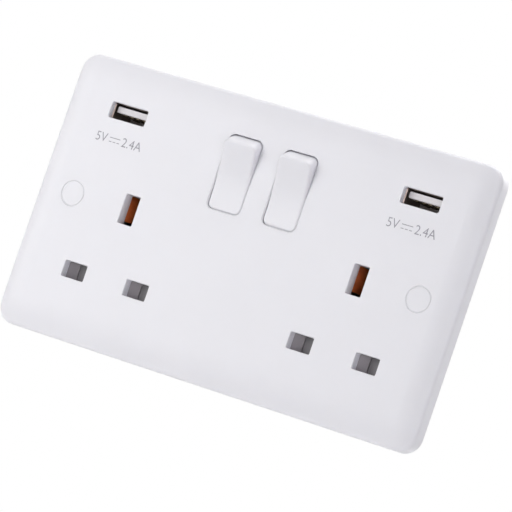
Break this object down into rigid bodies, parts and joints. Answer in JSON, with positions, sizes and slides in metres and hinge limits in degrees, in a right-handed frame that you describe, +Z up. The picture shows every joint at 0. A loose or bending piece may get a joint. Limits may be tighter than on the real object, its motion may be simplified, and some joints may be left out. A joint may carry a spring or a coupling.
{
  "type": "usb wall socket",
  "caption": "Flush two-gang switched wall socket in white plastic: shuttered three-pin outlets, rocker switches and USB charging ports over a rear housing with screw terminals.",
  "frame": {"origin": "middle of the two wall fixing holes, on the wall plane behind the plate", "axes": "+X to the right as seen from the room, +Y into the wall, +Z up"},
  "size_m": [0.146, 0.0317, 0.086],
  "materials": {
    "plate_white": "white moulded, low gloss",
    "rocker_white": "white moulded, low gloss",
    "cover_white": "off-white moulded",
    "shutter_grey": "grey moulded",
    "nylon": "natural nylon",
    "brass": "stamped",
    "terminal_brass": "machined",
    "silver": "silver contact",
    "spring_steel": "drawn wire",
    "screw_steel": "zinc plated",
    "usb_steel": "nickel plated",
    "usb_white": "moulded insulator",
    "usb_gold": "gold flashed",
    "board_green": "solder mask",
    "ferrite": "ferrite",
    "tape_yellow": "polyester tape",
    "can_black": "sleeved can",
    "epoxy_black": "moulded epoxy",
    "disc_blue": "dipped",
    "fuse_tan": "ceramic tube",
    "lead_brown": "insulated wire",
    "lead_blue": "insulated wire"
  },
  "bodies": {
    "socket": {"front_plate": "plate_white", "rear_cover": "cover_white", "cover_screws": "screw_steel", "earth_strap": "brass", "neutral_strap": "brass", "live_strap": "brass", "terminal_live": "terminal_brass", "terminal_earth_a": "terminal_brass", "terminal_earth_b": "terminal_brass", "terminal_neutral": "terminal_brass", "terminal_screws": "screw_steel", "charger_board": "board_green", "transformer_core": "ferrite", "transformer_winding": "tape_yellow", "bulk_capacitor": "can_black", "output_capacitor": "can_black", "controller_chip": "epoxy_black", "bridge_rectifier": "epoxy_black", "y_capacitor": "disc_blue", "fuse": "fuse_tan", "charger_lead_live": "lead_brown", "charger_lead_neutral": "lead_blue", "screw_cap_left": "plate_white", "fixed_tip_left": "silver", "live_tail_left": "brass", "earth_contact_left": "brass", "live_contact_left": "brass", "neutral_contact_left": "brass", "shutter_keeper_left": "nylon", "shutter_spring_left": "spring_steel", "usb_shell_left": "usb_steel", "usb_tongue_left": "usb_white", "usb_pins_left": "usb_gold", "screw_cap_right": "plate_white", "fixed_tip_right": "silver", "live_tail_right": "brass", "earth_contact_right": "brass", "live_contact_right": "brass", "neutral_contact_right": "brass", "shutter_keeper_right": "nylon", "shutter_spring_right": "spring_steel", "usb_shell_right": "usb_steel", "usb_tongue_right": "usb_white", "usb_pins_right": "usb_gold"},
    "rocker_left": {"rocker_left": "rocker_white", "plunger_left": "nylon", "plunger_spring_left": "spring_steel"},
    "arm_left": {"contact_arm_left": "brass", "moving_tip_left": "silver"},
    "shutter_left_a": {"shutter_left_a": "shutter_grey"},
    "shutter_left_b": {"shutter_left_b": "shutter_grey"},
    "rocker_right": {"rocker_right": "rocker_white", "plunger_right": "nylon", "plunger_spring_right": "spring_steel"},
    "arm_right": {"contact_arm_right": "brass", "moving_tip_right": "silver"},
    "shutter_right_a": {"shutter_right_a": "shutter_grey"},
    "shutter_right_b": {"shutter_right_b": "shutter_grey"}
  },
  "joints": [
    {"name": "rocker_left_tilt", "type": "hinge", "parent": "socket", "child": "rocker_left", "pos_m": [-0.0096, -0.0015, 0.01925], "axis": [1, 0, 0], "range_deg": [-20, 0]},
    {"name": "arm_left_tilt", "type": "hinge", "parent": "socket", "child": "arm_left", "pos_m": [-0.0096, 0.00792, 0.01925], "axis": [1, 0, 0], "range_deg": [0, 20]},
    {"name": "shutter_left_a_slide", "type": "slide", "parent": "socket", "child": "shutter_left_a", "axis": [-1, 0, 0], "range_m": [0, 0.0044], "stiffness_N_per_m": 60, "springref_m": -0.004, "deforming": ["shutter_spring_left"]},
    {"name": "shutter_left_b_slide", "type": "slide", "parent": "socket", "child": "shutter_left_b", "axis": [1, 0, 0], "range_m": [0, 0.0044]},
    {"name": "rocker_right_tilt", "type": "hinge", "parent": "socket", "child": "rocker_right", "pos_m": [0.0096, -0.0015, 0.01925], "axis": [1, 0, 0], "range_deg": [-20, 0]},
    {"name": "arm_right_tilt", "type": "hinge", "parent": "socket", "child": "arm_right", "pos_m": [0.0096, 0.00792, 0.01925], "axis": [1, 0, 0], "range_deg": [0, 20]},
    {"name": "shutter_right_a_slide", "type": "slide", "parent": "socket", "child": "shutter_right_a", "axis": [-1, 0, 0], "range_m": [0, 0.0044], "stiffness_N_per_m": 60, "springref_m": -0.004, "deforming": ["shutter_spring_right"]},
    {"name": "shutter_right_b_slide", "type": "slide", "parent": "socket", "child": "shutter_right_b", "axis": [1, 0, 0], "range_m": [0, 0.0044]}
  ],
  "couplings": [
    {"joint": "arm_left_tilt", "follows": "rocker_left_tilt", "ratio": -1},
    {"joint": "shutter_left_b_slide", "follows": "shutter_left_a_slide", "ratio": 1},
    {"joint": "arm_right_tilt", "follows": "rocker_right_tilt", "ratio": -1},
    {"joint": "shutter_right_b_slide", "follows": "shutter_right_a_slide", "ratio": 1}
  ]
}
